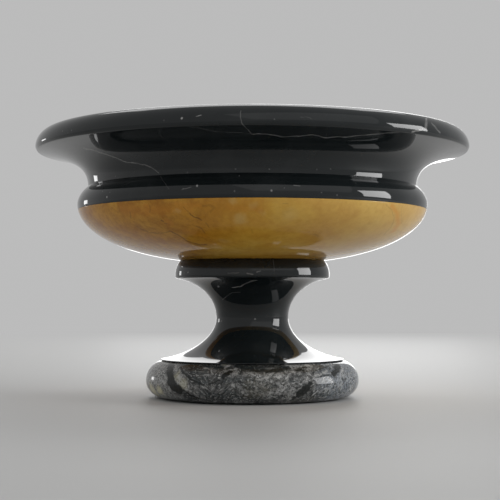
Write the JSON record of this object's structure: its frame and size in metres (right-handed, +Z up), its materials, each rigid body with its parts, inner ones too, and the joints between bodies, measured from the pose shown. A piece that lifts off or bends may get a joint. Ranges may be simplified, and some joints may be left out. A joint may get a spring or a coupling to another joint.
{
  "type": "marble bowl",
  "caption": "Turned stone tazza: black lipped ring on a yellow dish, waisted black stem and round grey foot, clamped by a hidden rod.",
  "frame": {"origin": "on the turning axis, in the plane that the felt under the foot stands on", "axes": "+Z up along the turning axis; the part is round, so X and Y are alike, and -Y faces the picture's camera"},
  "size_m": [0.28, 0.28, 0.1709],
  "materials": {
    "black_marble": "polished near-black marble with hairline white veins",
    "yellow_marble": "polished ochre marble, mottled, with faint brown veins",
    "grey_marble": "polished grey marble with dark flowing veins",
    "steel": "plain zinc-plated steel",
    "lead": "dull soft lead sheet",
    "compound": "matt hardened setting compound",
    "felt": "matt dark green felt"
  },
  "bodies": {
    "root": {"rim_ring": "black_marble", "dish": "yellow_marble", "dish_plug": "yellow_marble", "collar": "black_marble", "stem": "black_marble", "foot": "grey_marble", "rim_bed": "compound", "dish_bed": "compound", "collar_bed": "compound", "foot_bed": "compound", "tie_rod": "steel", "top_cushion": "lead", "top_washer": "steel", "top_nut": "steel", "bottom_cushion": "lead", "bottom_washer": "steel", "bottom_nut": "steel", "felt_pad": "felt"}
  },
  "joints": []
}
